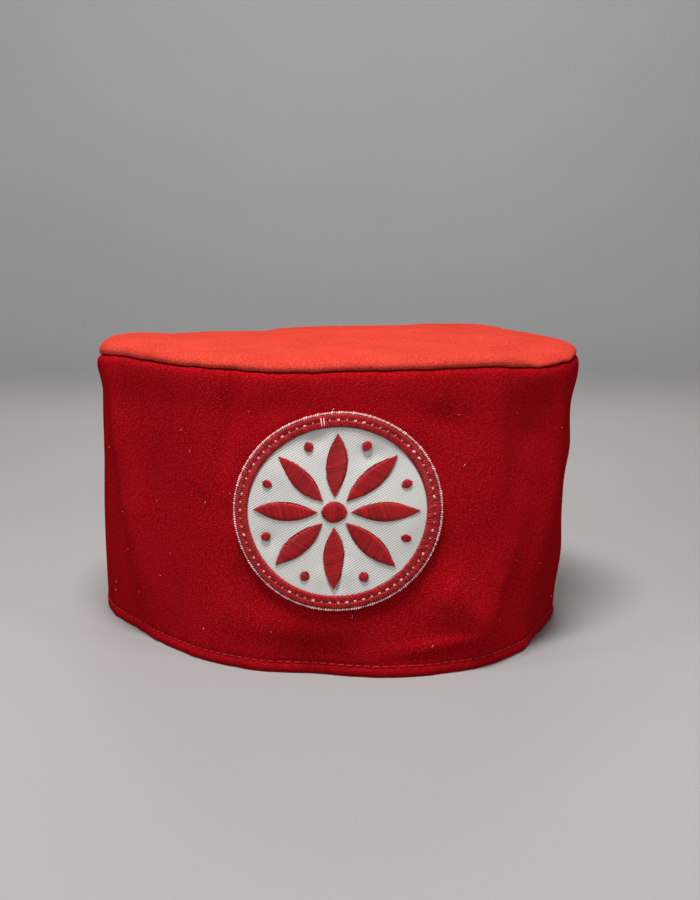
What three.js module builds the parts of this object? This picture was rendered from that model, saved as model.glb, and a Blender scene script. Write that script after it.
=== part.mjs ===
// A soft crown cap: a tall side band, a flat round crown panel and a round embroidered patch on the front.
// Millimetres, +Z up. The patch faces -Y, and +X is on the right of someone who looks at it.
// The origin is the middle of the cap's box, on the surface that the hem rests on.
// Angles go round the cap in degrees from the middle of the front, positive towards +X.
// Up to the last lines a radius is measured from the crown's middle.

import * as THREE from "three";
import { mergeVertices } from "three/addons/utils/BufferGeometryUtils.js";

// Band
const HEAD_ROUND = 580; // inside circumference, a 58 cm head
const BAND_HEIGHT = 105; // from the surface to the crown seam
const BAND_WALL = 2; // stiffened cloth
const HEM_CLOTH = 1; // what the turned-up hem adds inside
const HEM_TURN = 12; // how far up inside the hem is turned
const HEM_EDGE = 0.8; // rounding of the folded edge
const HEM_STITCH_UP = 4; // the hem's stitching above the edge
const STITCH_PINCH = 0.4; // how deep the stitching pulls the cloth in
const FOLD_DEPTH = 2; // the depth that a fold of 1 has

// Crown
const CROWN_CLOTH = 1.6;
const CROWN_ROLL = 4.6; // height of the rolled rim over the seam
const CROWN_ROLL_REACH = 7; // how far in from the band the roll ends
const ROLL_UNDER = 0.9; // how far up from the seam the roll is widest
const CROWN_DOME = 2.6; // rise from the roll to the middle
const CROWN_DENT = 2; // the rise that a swell of 1 has
const SEAM_ALLOWANCE = 8; // cloth turned down inside the band
const SEAM_CLOTH = 1.2;
const SEAM_FLARE = 0.9; // how far band and crown swell out on each side of the seam
const SEAM_FLARE_DOWN = 16; // how far down the band that swelling starts
const SEAM_SHOULDER = 3.5; // how far down from the seam the band is widest
const SEAM_CREASE = 0.3; // how far in the seam lies
const GAP = 0.3; // between pieces that touch

// Patch
const PATCH_WIDTH = 70;
const PATCH_HEIGHT = 67.6; // sewn on a little flatter than it is wide
const PATCH_DROP = 13.2; // from the crown seam to the patch's top
const PATCH_AT = 1.2; // degrees
const PATCH_CLOTH = 1;
const PATCH_HOLD = 14; // how far beyond its edge the patch still holds the band smooth
const BORDER_WIDTH = 4.6;
const BORDER_LIFT = 0.9;
const BORDER_GROOVE = 0.35; // pressed in by the stitching that holds the patch
const RAW_EDGE = 0.7; // white cloth beyond the border

// Rosette
const PETALS = 8;
const PETAL_WIDTH = 7.6;
const PETAL_TIP_CLEARANCE = 2.2; // from a petal's tip to the border
const HEART_RADIUS = 4;
const HEART_CLEARANCE = 1.4; // from the heart to the petals
const KNOT_RADIUS = 1.7;
const KNOT_CLEARANCE = 3.2; // from a knot to the border
const STITCH_LIFT = 0.8; // how far the raised stitching stands up

// Fineness of the facets
const AROUND = 66;
const FACE_ROWS = 15;
const INSIDE_ROWS = 8;
const CROWN_RINGS = 7;
const ROLL_STEPS = 4;
const PATCH_AROUND = 36;
const PATCH_RINGS = 5;
const PETAL_AROUND = 10;
const PETAL_RINGS = 6;

const PATCH_RADIUS = PATCH_WIDTH / 2;
const BAND_RADIUS = HEAD_ROUND / (2 * Math.PI) + BAND_WALL;
const SKIRT_OUTSIDE = BAND_RADIUS - BAND_WALL - GAP;
const RIM_SHARE = 0.9; // outside this share of its radius the crown follows the band's plan
const DEGREE = Math.PI / 180;

// The band's plan. up: share of the band's height. oval: share of the radius that is added along the
// long way and taken off across it. turn: degrees to the long way. right: share of the radius that
// the plan's middle lies to the right.
const SECTIONS = [
  { up: 0, oval: 0.092, turn: 29, right: -0.031 },
  { up: 0.5, oval: 0.07, turn: 29, right: -0.03 },
  { up: 0.8, oval: 0.035, turn: 28, right: -0.015 },
  { up: 1, oval: 0.012, turn: 27, right: 0 },
];

// The height of the crown seam round the cap. rise: share of the band's height.
// puff: how much taller the crown's roll is there, as a share of its height.
const SEAM_LINE = [
  { at: -180, rise: -0.01, puff: 0 },
  { at: -167, rise: -0.014, puff: 0 },
  { at: -151, rise: -0.035, puff: 0 },
  { at: -136, rise: -0.022, puff: 0.05 },
  { at: -118, rise: -0.022, puff: 0.1 },
  { at: -102, rise: -0.016, puff: 0.5 },
  { at: -84, rise: -0.008, puff: 0.5 },
  { at: -58, rise: 0.014, puff: 0.15 },
  { at: -32, rise: 0.002, puff: 0 },
  { at: -11, rise: -0.006, puff: 0 },
  { at: 6, rise: 0.002, puff: 0 },
  { at: 33, rise: 0.003, puff: 0 },
  { at: 42, rise: -0.008, puff: 0.1 },
  { at: 50, rise: -0.017, puff: -0.4 },
  { at: 64, rise: -0.014, puff: -0.35 },
  { at: 78, rise: -0.009, puff: 0 },
  { at: 104, rise: -0.008, puff: 0 },
  { at: 118, rise: -0.003, puff: 0 },
  { at: 137, rise: 0.014, puff: 0 },
  { at: 149, rise: 0.009, puff: 0 },
  { at: 162, rise: -0.006, puff: 0 },
  { at: 180, rise: -0.01, puff: 0 },
];

// Folds and dents of the band. up, along, across: shares of the band's height. lean: degrees from
// upright, positive where the top leans right. out: share of the fold depth, negative inwards.
const FOLDS = [
  { at: 59, up: 0, along: 0.32, across: 0.31, lean: 0, out: -3.6 },
  { at: -2, up: 0, along: 0.16, across: 0.14, lean: 0, out: -2 },
  { at: -58, up: 0, along: 0.2, across: 0.22, lean: 0, out: -1.4 },
  { at: -92, up: 0.15, along: 0.55, across: 0.3, lean: 0, out: 1.2 },
  { at: -72, up: 0.98, along: 0.1, across: 0.08, lean: 84, out: 0.9 },
  { at: -59, up: 0.6, along: 0.5, across: 0.09, lean: -9, out: 1.8 },
  { at: -63, up: 0.4, along: 0.1, across: 0.05, lean: -12, out: -0.4 },
  { at: -67, up: 0.2, along: 0.12, across: 0.07, lean: -8, out: 0.5 },
  { at: -42, up: 0.5, along: 0.55, across: 0.13, lean: 0, out: -0.9 },
  { at: -23, up: 0.76, along: 0.36, across: 0.05, lean: 2, out: -1.1 },
  { at: -10, up: 0.82, along: 0.14, across: 0.07, lean: 86, out: -0.9 },
  { at: -12, up: 0.17, along: 0.2, across: 0.07, lean: 88, out: 0.6 },
  { at: 22, up: 0.82, along: 0.11, across: 0.055, lean: 88, out: -0.8 },
  { at: 36, up: 0.74, along: 0.34, across: 0.06, lean: 2, out: 0.7 },
  { at: 46, up: 0.97, along: 0.09, across: 0.06, lean: 84, out: 0.6 },
  { at: 47, up: 0.79, along: 0.09, across: 0.07, lean: 80, out: -0.7 },
  { at: 55, up: 0.5, along: 0.45, across: 0.1, lean: 16, out: 1.5 },
  { at: 26, up: 0.24, along: 0.16, across: 0.08, lean: -34, out: 1.8 },
  { at: 38, up: 0.33, along: 0.22, across: 0.07, lean: 24, out: 0.8 },
  { at: 32, up: 0.15, along: 0.07, across: 0.06, lean: 0, out: 0.6 },
  { at: 21, up: 0.09, along: 0.14, across: 0.03, lean: 88, out: 0.5 },
  { at: 74, up: 0.67, along: 0.12, across: 0.08, lean: 84, out: 0.6 },
  { at: 81, up: 0.9, along: 0.12, across: 0.09, lean: 88, out: 0.6 },
  { at: 82, up: 0.25, along: 0.14, across: 0.12, lean: 88, out: 0.8 },
  { at: 118, up: 0.55, along: 0.3, across: 0.09, lean: 12, out: -1 },
  { at: 168, up: 0.7, along: 0.24, across: 0.08, lean: -14, out: -0.8 },
  { at: -150, up: 0.35, along: 0.22, across: 0.08, lean: 18, out: -0.9 },
  { at: -112, up: 0.6, along: 0.3, across: 0.09, lean: -6, out: -0.7 },
];

// Swells and hollows of the crown. right, back, wide, deep: shares of the band's radius.
// rise: share of the crown dent, negative downwards.
const SWELLS = [
  { right: 0.3, back: 0.08, wide: 0.4, deep: 0.34, rise: 0.6 },
  { right: -0.5, back: 0.2, wide: 0.34, deep: 0.4, rise: -0.75 },
  { right: 0.48, back: 0.52, wide: 0.26, deep: 0.12, rise: -0.7 },
  { right: 0.66, back: -0.34, wide: 0.17, deep: 0.13, rise: -1.9 },
  { right: -0.34, back: -0.68, wide: 0.24, deep: 0.1, rise: -0.5 },
  { right: -0.8, back: -0.12, wide: 0.09, deep: 0.09, rise: -0.8 },
];

const ease = (t) => t * t * (3 - 2 * t);

// The same angle between -180 and 180 degrees.
const signed = (angle) => THREE.MathUtils.euclideanModulo(angle + 180, 360) - 180;

// The value of one column between the two rows of a table that a place lies between.
function between(rows, place, key, column) {
  const next = rows.findIndex((row) => row[key] >= place);
  if (next < 1) return rows[next === 0 ? 0 : rows.length - 1][column];
  const [a, b] = [rows[next - 1], rows[next]];
  return a[column] + (b[column] - a[column]) * ease((place - a[key]) / (b[key] - a[key]));
}

// How much a place on the band is held smooth by the patch: 1 under it and 0 well away from it.
function heldByPatch(at, height) {
  const right = signed(at - PATCH_AT) * DEGREE * BAND_RADIUS;
  const away = Math.hypot(right, height - patchHeight()) - PATCH_RADIUS;
  return 1 - ease(Math.min(1, Math.max(0, away / PATCH_HOLD)));
}

function patchHeight() {
  return BAND_HEIGHT - PATCH_DROP - PATCH_HEIGHT / 2;
}

// How far the folds push the band out at a place.
function foldAt(at, height) {
  let out = 0;
  for (const fold of FOLDS) {
    const right = signed(at - fold.at) * DEGREE * BAND_RADIUS;
    const up = height - fold.up * BAND_HEIGHT;
    const lean = fold.lean * DEGREE;
    const along = (up * Math.cos(lean) + right * Math.sin(lean)) / (fold.along * BAND_HEIGHT);
    const across = (right * Math.cos(lean) - up * Math.sin(lean)) / (fold.across * BAND_HEIGHT);
    out += fold.out * FOLD_DEPTH * Math.exp(-along * along - across * across);
  }
  return out * (1 - heldByPatch(at, height));
}

// How far the crown's swells lift it at a place, down to nothing at its rim.
function swellAt(right, back, share) {
  let rise = 0;
  for (const swell of SWELLS) {
    const x = (right / BAND_RADIUS - swell.right) / swell.wide;
    const y = (back / BAND_RADIUS - swell.back) / swell.deep;
    rise += swell.rise * CROWN_DENT * Math.exp(-x * x - y * y);
  }
  return rise * (1 - share ** 6);
}

// The place in space of a point given by its angle, its height and its radius on an unshaped round cap.
function capPoint(at, height, radius) {
  const up = Math.min(1, height / BAND_HEIGHT);
  const share = Math.min(1, radius / (RIM_SHARE * BAND_RADIUS));
  const oval = between(SECTIONS, up, "up", "oval");
  const turn = between(SECTIONS, up, "up", "turn");
  const plan = BAND_RADIUS * oval * Math.cos(2 * (at - turn) * DEGREE) + foldAt(at, height);
  const out = radius + share * plan;
  const right = out * Math.sin(at * DEGREE) + BAND_RADIUS * between(SECTIONS, up, "up", "right");
  const back = -out * Math.cos(at * DEGREE);
  const seam = up * share * share * BAND_HEIGHT * between(SEAM_LINE, at, "at", "rise");
  const swell = height > BAND_HEIGHT ? swellAt(right, back, share) : 0;
  const puff = Math.max(0, height - BAND_HEIGHT) * share ** 4 * between(SEAM_LINE, at, "at", "puff");
  return new THREE.Vector3(right, back, height + seam + swell + puff);
}

// The place in space of a point on the front, right of and above the patch's middle, lifted off the band.
function frontPoint(right, up, lift) {
  const height = patchHeight() + (up * PATCH_HEIGHT) / PATCH_WIDTH;
  return capPoint(PATCH_AT + right / BAND_RADIUS / DEGREE, height, BAND_RADIUS + lift);
}

// A geometry with its places merged and nothing else, so that its faces share their corners.
function bare(geometry) {
  geometry.deleteAttribute("normal");
  geometry.deleteAttribute("uv");
  return mergeVertices(geometry, 1e-4);
}

// Moves each corner of a geometry to what a function makes of its x, y and z.
function moved(geometry, place) {
  const corners = geometry.getAttribute("position");
  for (let i = 0; i < corners.count; i++) {
    const to = place(corners.getX(i), corners.getY(i), corners.getZ(i));
    corners.setXYZ(i, to.x, to.y, to.z);
  }
  geometry.computeVertexNormals();
  return geometry;
}

// A profile of [radius, height] turned round +Z, starting at the front.
function turned(profile, segments) {
  const points = profile.map(([radius, height]) => new THREE.Vector2(radius, height));
  return bare(new THREE.LatheGeometry(points, segments)).rotateX(Math.PI / 2);
}

// A turned profile in the cap's own shape.
function shaped(profile) {
  return moved(turned(profile, AROUND), (x, y, z) =>
    capPoint(Math.atan2(x, -y) / DEGREE, z, Math.hypot(x, y)),
  );
}

// A flat geometry, with its lift along z, laid on the front of the band.
function wrapped(geometry) {
  return moved(geometry, frontPoint);
}

const steps = (count) => Array.from({ length: count }, (_, i) => (i + 1) / count);

// Points on a quarter of an ellipse from the end of its first half-axis to the end of its second.
function quarter(middle, firstHalf, secondHalf, count) {
  return steps(count).map((share) => {
    const turn = (share * Math.PI) / 2;
    const [along, over] = [Math.cos(turn), Math.sin(turn)];
    return [
      middle[0] + along * firstHalf[0] + over * secondHalf[0],
      middle[1] + along * firstHalf[1] + over * secondHalf[1],
    ];
  });
}

// The band: up its face from the folded edge, over its seam edge, down its inside and over the hem.
function bandProfile() {
  const face = BAND_RADIUS;
  const inside = face - BAND_WALL;
  const hemInside = inside - HEM_CLOTH;
  const faceFrom = HEM_STITCH_UP + 2 * STITCH_PINCH;
  const faceTo = BAND_HEIGHT - SEAM_FLARE_DOWN;
  const seamEdge = BAND_HEIGHT - GAP / 2;
  const swellTop = BAND_HEIGHT - SEAM_SHOULDER;
  const insideFrom = BAND_HEIGHT - SEAM_ALLOWANCE;
  const insideTo = HEM_TURN + HEM_CLOTH;
  return [
    [face - HEM_EDGE, 0],
    ...quarter([face - HEM_EDGE, HEM_EDGE], [0, -HEM_EDGE], [HEM_EDGE, 0], 2),
    [face, HEM_STITCH_UP - 2 * STITCH_PINCH],
    [face - STITCH_PINCH, HEM_STITCH_UP],
    [face, faceFrom],
    ...steps(FACE_ROWS).map((share) => [face, faceFrom + share * (faceTo - faceFrom)]),
    [face + SEAM_FLARE / 2, (faceTo + swellTop) / 2],
    [face + SEAM_FLARE, swellTop],
    ...quarter([face - SEAM_CREASE, swellTop], [SEAM_FLARE + SEAM_CREASE, 0], [0, seamEdge - swellTop], 3),
    [inside, seamEdge],
    [inside, insideFrom],
    ...steps(INSIDE_ROWS).map((share) => [inside, insideFrom - share * (insideFrom - insideTo)]),
    [hemInside, HEM_TURN],
    [hemInside, HEM_EDGE],
    [hemInside + HEM_EDGE, 0],
    [face - HEM_EDGE, 0],
  ];
}

// The crown: out along its underside, down and up the allowance inside the band, round the roll and in over the top.
function crownProfile() {
  const flatTo = BAND_RADIUS - CROWN_ROLL_REACH;
  const rollTop = BAND_HEIGHT + CROWN_ROLL;
  const rollOut = BAND_HEIGHT + ROLL_UNDER;
  const seam = BAND_HEIGHT + GAP / 2;
  const skirtEnd = BAND_HEIGHT - SEAM_ALLOWANCE;
  const skirtInside = SKIRT_OUTSIDE - SEAM_CLOTH;
  const top = (share) => [share * flatTo, rollTop + CROWN_DOME * (1 - share * share)];
  const under = (share) => [share * flatTo, top(share)[1] - CROWN_CLOTH];
  const swellOut = SEAM_FLARE + SEAM_CREASE;
  const outFrom = BAND_RADIUS - SEAM_CREASE;
  return [
    under(0),
    ...steps(CROWN_RINGS).map(under),
    [skirtInside, rollOut],
    [skirtInside, skirtEnd],
    [SKIRT_OUTSIDE, skirtEnd],
    [SKIRT_OUTSIDE, seam],
    [outFrom, seam],
    ...quarter([outFrom, rollOut], [0, seam - rollOut], [swellOut, 0], 2),
    ...quarter([flatTo, rollOut], [CROWN_ROLL_REACH + SEAM_FLARE, 0], [0, rollTop - rollOut], ROLL_STEPS),
    ...steps(CROWN_RINGS).map((share) => top(1 - share)),
  ];
}

// The patch's white cloth: out along its back and in along its face.
function patchGround() {
  const rings = steps(PATCH_RINGS).map((share) => share * PATCH_RADIUS);
  const profile = [
    [0, GAP],
    ...rings.map((radius) => [radius, GAP]),
    ...rings.toReversed().map((radius) => [radius, GAP + PATCH_CLOTH]),
    [0, GAP + PATCH_CLOTH],
  ];
  return wrapped(turned(profile, PATCH_AROUND));
}

// The patch's border: two rows of thread with the groove of the holding stitches between them.
function patchBorder() {
  const outside = PATCH_RADIUS - RAW_EDGE;
  const inside = outside - BORDER_WIDTH;
  const middle = (outside + inside) / 2;
  const base = stitchBase();
  const shoulder = base + BORDER_LIFT / 2;
  const top = base + BORDER_LIFT;
  const profile = [
    [inside, base],
    [middle, base],
    [outside, base],
    [outside, shoulder],
    [outside - BORDER_GROOVE * 2, top],
    [middle + BORDER_GROOVE * 2, top],
    [middle, top - BORDER_GROOVE],
    [middle - BORDER_GROOVE * 2, top],
    [inside + BORDER_GROOVE * 2, top],
    [inside, shoulder],
    [inside, base],
  ];
  return wrapped(turned(profile, PATCH_AROUND));
}

function stitchBase() {
  return GAP + PATCH_CLOTH + GAP;
}

// A raised patch of stitching with a flat back. Pointed ends make it a leaf along y.
function stitchedDome(halfWide, halfLong, pointed, segments, rings) {
  const dome = bare(new THREE.SphereGeometry(1, segments, rings)).rotateX(Math.PI / 2);
  return moved(dome, (x, y, z) => {
    const ring = Math.hypot(x, y);
    const across = pointed && ring > 0 ? (x * Math.abs(x)) / ring : x;
    return { x: across * halfWide, y: y * halfLong, z: stitchBase() + Math.max(0, z) * STITCH_LIFT };
  });
}

// One part of the rosette, with its middle a distance from the patch's and turned clockwise from the top.
function onRosette(geometry, distance, turn) {
  return wrapped(geometry.translate(0, distance, 0).rotateZ(-turn * DEGREE));
}

function petal(turn) {
  const from = HEART_RADIUS + HEART_CLEARANCE;
  const to = PATCH_RADIUS - RAW_EDGE - BORDER_WIDTH - PETAL_TIP_CLEARANCE;
  const leaf = stitchedDome(PETAL_WIDTH / 2, (to - from) / 2, true, PETAL_AROUND, PETAL_RINGS);
  return onRosette(leaf, (from + to) / 2, turn);
}

function knot(turn) {
  const distance = PATCH_RADIUS - RAW_EDGE - BORDER_WIDTH - KNOT_CLEARANCE - KNOT_RADIUS;
  return onRosette(stitchedDome(KNOT_RADIUS, KNOT_RADIUS, false, 8, 4), distance, turn);
}

function heart() {
  return onRosette(stitchedDome(HEART_RADIUS, HEART_RADIUS, false, PETAL_AROUND, PETAL_RINGS), 0, 0);
}

const bandCloth = new THREE.MeshStandardMaterial({ color: 0xa5101a, roughness: 0.75, metalness: 0 });
const crownCloth = new THREE.MeshStandardMaterial({ color: 0xb8191f, roughness: 0.75, metalness: 0 });
const patchCloth = new THREE.MeshStandardMaterial({ color: 0xd6d8d2, roughness: 0.85, metalness: 0 });
const redThread = new THREE.MeshStandardMaterial({ color: 0x9c1016, roughness: 0.5, metalness: 0 });

const cap = new THREE.Group();

function add(name, geometry, material) {
  const mesh = new THREE.Mesh(geometry, material);
  mesh.name = name;
  cap.add(mesh);
}

add("side_band", shaped(bandProfile()), bandCloth);
add("crown_top", shaped(crownProfile()), crownCloth);
add("patch_ground", patchGround(), patchCloth);
add("patch_border", patchBorder(), redThread);
add("rosette_heart", heart(), redThread);
for (let i = 0; i < PETALS; i++) {
  const turn = (360 * i) / PETALS;
  add(`rosette_petal_${i + 1}`, petal(turn), redThread);
  add(`rosette_knot_${i + 1}`, knot(turn + 180 / PETALS), redThread);
}

// The cap's box is centred on the origin and stands on it.
const box = new THREE.Box3().setFromObject(cap);
const middle = box.getCenter(new THREE.Vector3());
cap.position.set(-middle.x, -middle.y, -box.min.z);

export default cap;
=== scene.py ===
import math
from collections import namedtuple

import bpy
import numpy as np
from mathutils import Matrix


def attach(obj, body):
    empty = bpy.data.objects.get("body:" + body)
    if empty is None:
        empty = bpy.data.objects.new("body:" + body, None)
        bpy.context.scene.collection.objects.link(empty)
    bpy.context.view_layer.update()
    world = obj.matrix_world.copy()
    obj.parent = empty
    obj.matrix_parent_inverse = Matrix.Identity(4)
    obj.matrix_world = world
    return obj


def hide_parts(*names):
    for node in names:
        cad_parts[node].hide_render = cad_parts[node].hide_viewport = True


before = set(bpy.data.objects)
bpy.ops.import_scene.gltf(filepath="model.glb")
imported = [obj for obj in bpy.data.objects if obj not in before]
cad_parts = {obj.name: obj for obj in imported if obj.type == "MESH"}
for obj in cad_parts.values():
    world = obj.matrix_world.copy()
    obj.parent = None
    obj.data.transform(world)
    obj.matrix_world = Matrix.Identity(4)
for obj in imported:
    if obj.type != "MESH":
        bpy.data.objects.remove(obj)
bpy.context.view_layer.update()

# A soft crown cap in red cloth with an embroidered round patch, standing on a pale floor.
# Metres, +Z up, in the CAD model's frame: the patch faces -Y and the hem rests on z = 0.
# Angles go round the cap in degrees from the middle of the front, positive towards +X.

# Band
HEAD_ROUND = 0.58
BAND_HEIGHT = 0.105
BAND_WALL = 0.002
HEM_CLOTH = 0.001
HEM_TURN = 0.012
HEM_EDGE = 0.0008
HEM_STITCH_UP = 0.004
HEM_SWELL = 0.0003
STITCH_PINCH = 0.0004
FOLD_DEPTH = 0.002
WRINKLE_DEPTH = 0.001

# Crown
CROWN_CLOTH = 0.0016
CROWN_ROLL = 0.0046
CROWN_ROLL_REACH = 0.007
ROLL_UNDER = 0.0014
CROWN_DOME = 0.0026
CROWN_DENT = 0.002
SEAM_ALLOWANCE = 0.008
SEAM_CLOTH = 0.0012
SEAM_FLARE = 0.0009
SEAM_FLARE_DOWN = 0.016
SEAM_SHOULDER = 0.0035
SEAM_CREASE = 0.0009
ROLL_SET_BACK = 0.0007
SEAM_PUCKER = 0.00028
SEAM_PUCKER_REACH = 0.007
GAP = 0.0003

# Patch
PATCH_WIDTH = 0.07
PATCH_HEIGHT = 0.0676
PATCH_DROP = 0.0132
PATCH_AT = 1.2
PATCH_CLOTH = 0.001
PATCH_HOLD = 0.014
PATCH_PUCKER = 0.00022
PATCH_PUCKER_REACH = 0.005
BORDER_WIDTH = 0.0046
BORDER_LIFT = 0.0009
OUTER_RIDGE = 0.44
RAW_EDGE = 0.0007

# Rosette
PETALS = 8
PETAL_WIDTH = 0.0076
PETAL_TIP_CLEARANCE = 0.0022
HEART_RADIUS = 0.004
HEART_CLEARANCE = 0.0014
KNOT_RADIUS = 0.0017
KNOT_CLEARANCE = 0.0032
STITCH_LIFT = 0.0008

# Threads
LONGEST_STITCH = 1.06
SATIN_SPACING = 0.00042
SATIN_WIDTH = 1.25 * SATIN_SPACING
PETAL_SLANT = 16
BORDER_SPACING = 0.00072
BORDER_THREAD = 1.05 * BORDER_SPACING
OUTER_SLANT = 12
INNER_SLANT = -14
HOLDING_SPACING = 0.0029
HOLDING_WIDTH = 0.0009
THREAD_END_AT = -9
THREAD_END_SPREAD = 0.8
THREAD_END_WIDTH = 0.6 * BORDER_SPACING
FRAY_SPACING = 0.0008
FRAY_WIDTH = 0.68 * FRAY_SPACING
FRAY_SLANT = 38
HEM_SPACING = 0.0031
HEM_WIDTH = 0.0005
HEM_RISE = 0.0004
HEM_PROUD = 0.0001
LINT_LENGTH = 0.0012
LINT_SPACING = 0.03
LINT_WIDTH = 0.0001
LINT_RISE = 0.0003
LINT_TURNS = 4
LINT_WAVES = 2.3

# Fineness of the meshes
BAND_COLUMNS = 480
FACE_ROWS = 130
INSIDE_ROWS = 30
CROWN_COLUMNS = 360
CROWN_RINGS = 70
UNDER_RINGS = 16
ROLL_ROWS = 14
PATCH_COLUMNS = 144
PATCH_RINGS = 44
BASE_SIDES = 20
LEAF_COLUMNS = 32
LEAF_RINGS = 7
RING_POINTS = 240
LEAF_POINTS = 40
HEM_POINTS = 720
LINT_POINTS = 2000

PATCH_RADIUS = PATCH_WIDTH / 2
PATCH_MIDDLE = BAND_HEIGHT - PATCH_DROP - PATCH_HEIGHT / 2
BORDER_OUTSIDE = PATCH_RADIUS - RAW_EDGE
BORDER_INSIDE = BORDER_OUTSIDE - BORDER_WIDTH
STITCH_BASE = GAP + PATCH_CLOTH
BAND_RADIUS = HEAD_ROUND / (2 * math.pi) + BAND_WALL
SKIRT_OUTSIDE = BAND_RADIUS - BAND_WALL - GAP

# The plan's shaping grows from nothing in the middle to all of it at this share of the radius.
RIM_SHARE = 0.9

# How far off a surface the second place lies that tells which way is out.
OUT_STEP = 0.001

# The band's plan. oval and right: shares of the radius. turn: degrees to the plan's long way.
Section = namedtuple("Section", "up oval turn right")
SECTIONS = [
    Section(0, 0.092, 29, -0.031),
    Section(0.5, 0.07, 29, -0.03),
    Section(0.8, 0.035, 28, -0.015),
    Section(1, 0.012, 27, 0),
]

# The height of the crown seam. rise: share of the band's height.
# puff: how much taller the crown's roll is there, as a share of its height.
Seam = namedtuple("Seam", "at rise puff")
SEAM_LINE = [
    Seam(-180, -0.01, 0),
    Seam(-167, -0.014, 0),
    Seam(-151, -0.035, 0),
    Seam(-136, -0.022, 0.05),
    Seam(-118, -0.022, 0.1),
    Seam(-102, -0.016, 0.5),
    Seam(-84, -0.008, 0.5),
    Seam(-58, 0.014, 0.15),
    Seam(-32, 0.002, 0),
    Seam(-11, -0.006, 0),
    Seam(6, 0.002, 0),
    Seam(33, 0.003, 0),
    Seam(42, -0.008, 0.1),
    Seam(50, -0.017, -0.4),
    Seam(64, -0.014, -0.35),
    Seam(78, -0.009, 0),
    Seam(104, -0.008, 0),
    Seam(118, -0.003, 0),
    Seam(137, 0.014, 0),
    Seam(149, 0.009, 0),
    Seam(162, -0.006, 0),
    Seam(180, -0.01, 0),
]

# Folds of the band. up, along, across: shares of its height. lean: degrees from upright.
# out: share of the fold depth, negative inwards.
Fold = namedtuple("Fold", "at up along across lean out")
FOLDS = [
    Fold(59, 0, 0.32, 0.31, 0, -3.6),
    Fold(-2, 0, 0.16, 0.14, 0, -2),
    Fold(-58, 0, 0.2, 0.22, 0, -1.4),
    Fold(-92, 0.15, 0.55, 0.3, 0, 1.2),
    Fold(-72, 0.98, 0.1, 0.08, 84, 0.9),
    Fold(-59, 0.6, 0.5, 0.09, -9, 1.8),
    Fold(-63, 0.4, 0.1, 0.05, -12, -0.4),
    Fold(-67, 0.2, 0.12, 0.07, -8, 0.5),
    Fold(-42, 0.5, 0.55, 0.13, 0, -0.9),
    Fold(-23, 0.76, 0.36, 0.05, 2, -1.1),
    Fold(-10, 0.82, 0.14, 0.07, 86, -0.9),
    Fold(-12, 0.17, 0.2, 0.07, 88, 0.6),
    Fold(22, 0.82, 0.11, 0.055, 88, -0.8),
    Fold(36, 0.74, 0.34, 0.06, 2, 0.7),
    Fold(46, 0.97, 0.09, 0.06, 84, 0.6),
    Fold(47, 0.79, 0.09, 0.07, 80, -0.7),
    Fold(55, 0.5, 0.45, 0.1, 16, 1.5),
    Fold(26, 0.24, 0.16, 0.08, -34, 1.8),
    Fold(38, 0.33, 0.22, 0.07, 24, 0.8),
    Fold(32, 0.15, 0.07, 0.06, 0, 0.6),
    Fold(21, 0.09, 0.14, 0.03, 88, 0.5),
    Fold(74, 0.67, 0.12, 0.08, 84, 0.6),
    Fold(81, 0.9, 0.12, 0.09, 88, 0.6),
    Fold(82, 0.25, 0.14, 0.12, 88, 0.8),
    Fold(118, 0.55, 0.3, 0.09, 12, -1),
    Fold(168, 0.7, 0.24, 0.08, -14, -0.8),
    Fold(-150, 0.35, 0.22, 0.08, 18, -0.9),
    Fold(-112, 0.6, 0.3, 0.09, -6, -0.7),
]

# Finer creases of the band that the CAD solid leaves out. out: share of the wrinkle depth.
WRINKLES = [
    Fold(26, 0.27, 0.12, 0.016, -29, 0.5),
    Fold(20, 0.065, 0.12, 0.014, 86, -0.45),
    Fold(22, 0.11, 0.12, 0.014, 88, 0.4),
    Fold(38, 0.3, 0.1, 0.018, 26, 0.4),
    Fold(34, 0.9, 0.09, 0.018, 0, 0.5),
    Fold(52, 0.95, 0.05, 0.02, -30, 0.35),
    Fold(2, 0.94, 0.05, 0.02, 86, -0.3),
    Fold(-61, 0.5, 0.3, 0.02, -9, -0.4),
    Fold(-30, 0.56, 0.09, 0.018, -50, -0.3),
    Fold(-23, 0.82, 0.2, 0.02, 0, -0.4),
]

# Swells and hollows of the crown. right, back, wide, deep: shares of the radius.
# rise: share of the crown dent, negative downwards.
Swell = namedtuple("Swell", "right back wide deep rise")
SWELLS = [
    Swell(0.3, 0.08, 0.4, 0.34, 0.6),
    Swell(-0.5, 0.2, 0.34, 0.4, -0.75),
    Swell(0.48, 0.52, 0.26, 0.12, -0.7),
    Swell(0.66, -0.34, 0.17, 0.13, -1.9),
    Swell(-0.34, -0.68, 0.24, 0.1, -0.5),
    Swell(-0.8, -0.12, 0.09, 0.09, -0.8),
]

# Soft dents of the patch's ground. right, up, wide, high: shares of its radius.
# rise: share of the patch's thickness.
Dent = namedtuple("Dent", "right up wide high rise")
GROUND_DENTS = [
    Dent(-0.2, 0.74, 0.08, 0.1, -0.8),
    Dent(0.34, 0.56, 0.16, 0.1, -0.7),
    Dent(0.02, -0.72, 0.05, 0.16, -0.7),
    Dent(0.12, -0.62, 0.06, 0.14, 0.6),
    Dent(-0.12, -0.66, 0.06, 0.1, 0.4),
    Dent(-0.5, 0.4, 0.2, 0.16, 0.5),
    Dent(-0.62, -0.3, 0.14, 0.1, -0.5),
    Dent(0.66, -0.2, 0.1, 0.2, 0.5),
]

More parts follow.
